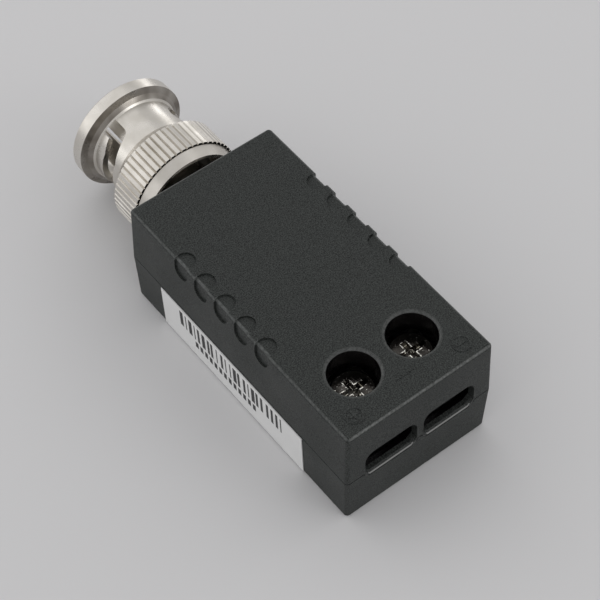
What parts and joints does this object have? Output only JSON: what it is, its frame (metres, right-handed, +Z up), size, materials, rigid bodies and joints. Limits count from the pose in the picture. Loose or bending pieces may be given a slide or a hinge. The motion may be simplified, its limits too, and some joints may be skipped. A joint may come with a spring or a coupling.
{
  "type": "cctv video balun",
  "caption": "Passive video balun: bayonet coax plug on the rear, screw terminals for a twisted pair behind windows in the front of a small plastic housing.",
  "frame": {"origin": "middle of the housing's underside", "axes": "+Z up, +Y out of the bayonet plug, -Y out of the wire windows, +X to the right seen from the windows"},
  "size_m": [0.0203, 0.056, 0.0156],
  "materials": {
    "shell_plastic": "fine spark texture",
    "label_paper": "coated",
    "nickel": "nickel plated",
    "screw_nickel": "nickel plated",
    "gold_brass": "gold flash",
    "spring_steel": "plain",
    "tinned_steel": "tinned",
    "insulator": "turned",
    "gasket_rubber": "moulded",
    "board": "solder mask",
    "ferrite": "sintered",
    "enamelled_wire": "enamelled",
    "blue_lacquer": "dipped",
    "film_capacitor": "dipped",
    "resistor_lacquer": "dipped",
    "terminal_plastic": "moulded"
  },
  "bodies": {
    "housing": {"upper_shell": "shell_plastic", "lower_shell": "shell_plastic", "id_label": "label_paper", "plug_body": "nickel", "plug_insulator": "insulator", "centre_pin": "gold_brass", "panel_nut": "nickel", "ground_tab": "tinned_steel", "retaining_ring": "spring_steel", "gasket": "gasket_rubber", "wave_washer": "spring_steel", "circuit_board": "board", "ferrite_core": "ferrite", "winding_left": "enamelled_wire", "winding_right": "enamelled_wire", "surge_suppressor": "blue_lacquer", "capacitor": "film_capacitor", "resistor": "resistor_lacquer", "terminal_base": "terminal_plastic", "contact_clip_left": "tinned_steel", "contact_clip_right": "tinned_steel"},
    "thrust_washer": {"thrust_washer": "spring_steel"},
    "collar": {"bayonet_collar": "nickel"},
    "clamp_left": {"clamp_plate_left": "tinned_steel"},
    "screw_left": {"terminal_screw_left": "screw_nickel"},
    "clamp_right": {"clamp_plate_right": "tinned_steel"},
    "screw_right": {"terminal_screw_right": "screw_nickel"}
  },
  "joints": [
    {"name": "collar_slide", "type": "slide", "parent": "housing", "child": "thrust_washer", "axis": [0, 1, 0], "range_m": [0, 0.00045], "stiffness_N_per_m": 1500, "deforming": ["wave_washer"]},
    {"name": "collar_turn", "type": "hinge", "parent": "thrust_washer", "child": "collar", "pos_m": [0, 0.0293, 0.00775], "axis": [0, 1, 0], "continuous": true},
    {"name": "clamp_slide_left", "type": "slide", "parent": "housing", "child": "clamp_left", "axis": [0, 0, 1], "range_m": [-0.0018, 0.0012]},
    {"name": "screw_turn_left", "type": "hinge", "parent": "clamp_left", "child": "screw_left", "pos_m": [-0.004, -0.01315, 0.0107], "axis": [0, 0, 1], "range_deg": [-1306, 874]},
    {"name": "clamp_slide_right", "type": "slide", "parent": "housing", "child": "clamp_right", "axis": [0, 0, 1], "range_m": [-0.0018, 0.0012]},
    {"name": "screw_turn_right", "type": "hinge", "parent": "clamp_right", "child": "screw_right", "pos_m": [0.004, -0.01315, 0.0107], "axis": [0, 0, 1], "range_deg": [-1306, 874]}
  ],
  "couplings": [
    {"joint": "screw_turn_left", "follows": "clamp_slide_left", "rad_per_m": 12566},
    {"joint": "screw_turn_right", "follows": "clamp_slide_right", "rad_per_m": 12566}
  ]
}
